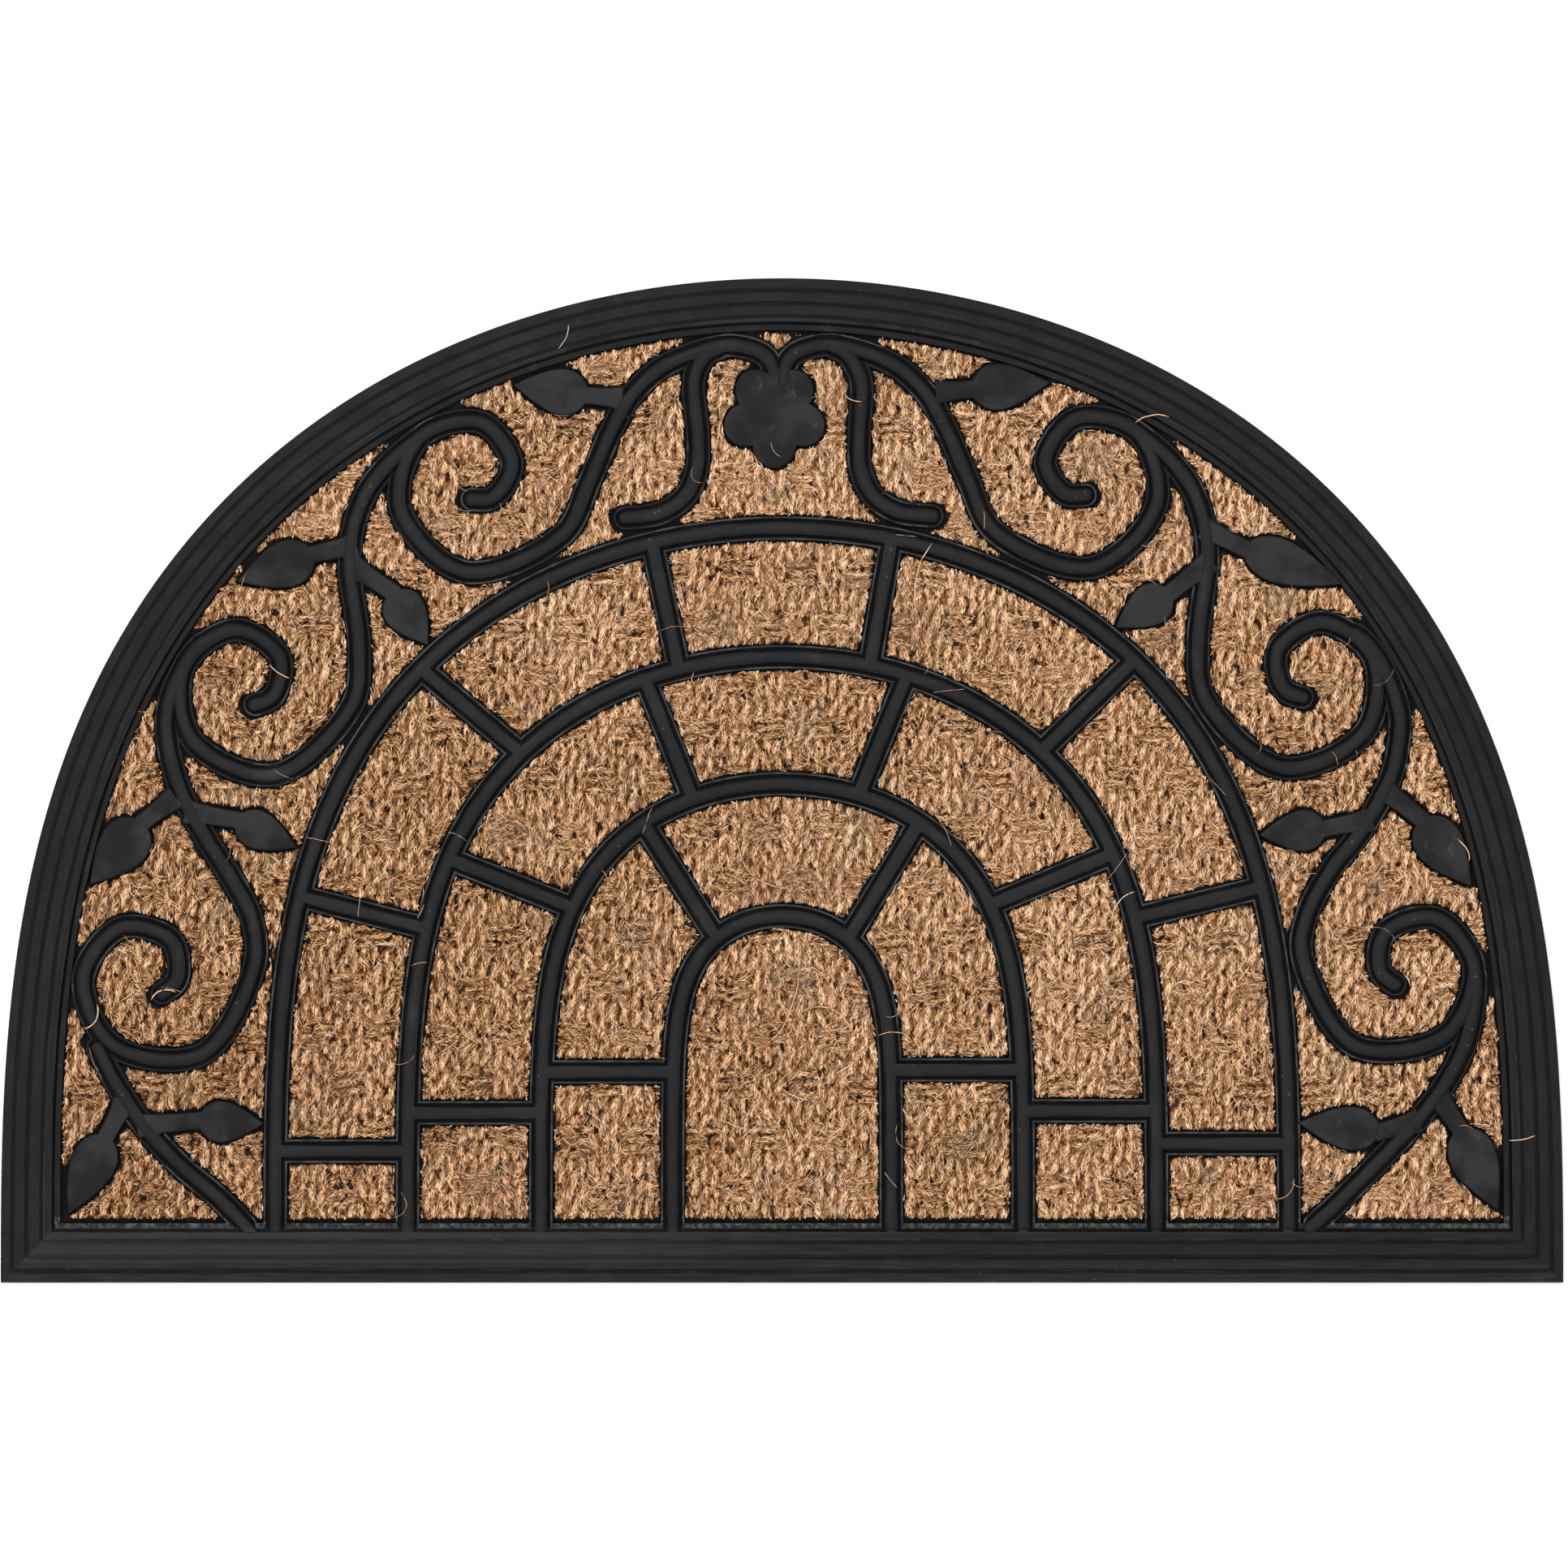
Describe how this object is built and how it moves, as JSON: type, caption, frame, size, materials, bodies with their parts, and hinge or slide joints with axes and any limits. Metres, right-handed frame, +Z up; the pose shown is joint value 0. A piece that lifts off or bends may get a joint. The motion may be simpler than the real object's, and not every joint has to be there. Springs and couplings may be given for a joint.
{
  "type": "half round coir doormat",
  "caption": "Flat half round doormat: a moulded rubber tray with a stepped border and a raised openwork grille of arches and vines over a woven coir panel.",
  "frame": {"origin": "middle of the mat's bounding box, on the floor", "axes": "+X along the straight edge, +Y from the straight edge to the crown, +Z up"},
  "size_m": [0.7, 0.45, 0.01],
  "materials": {
    "rubber": "satin black moulded rubber with fine dust",
    "coir": "coarse woven natural coir, matt"
  },
  "bodies": {
    "root": {"rubber_moulding": "rubber", "coir_panel": "coir"}
  },
  "joints": []
}
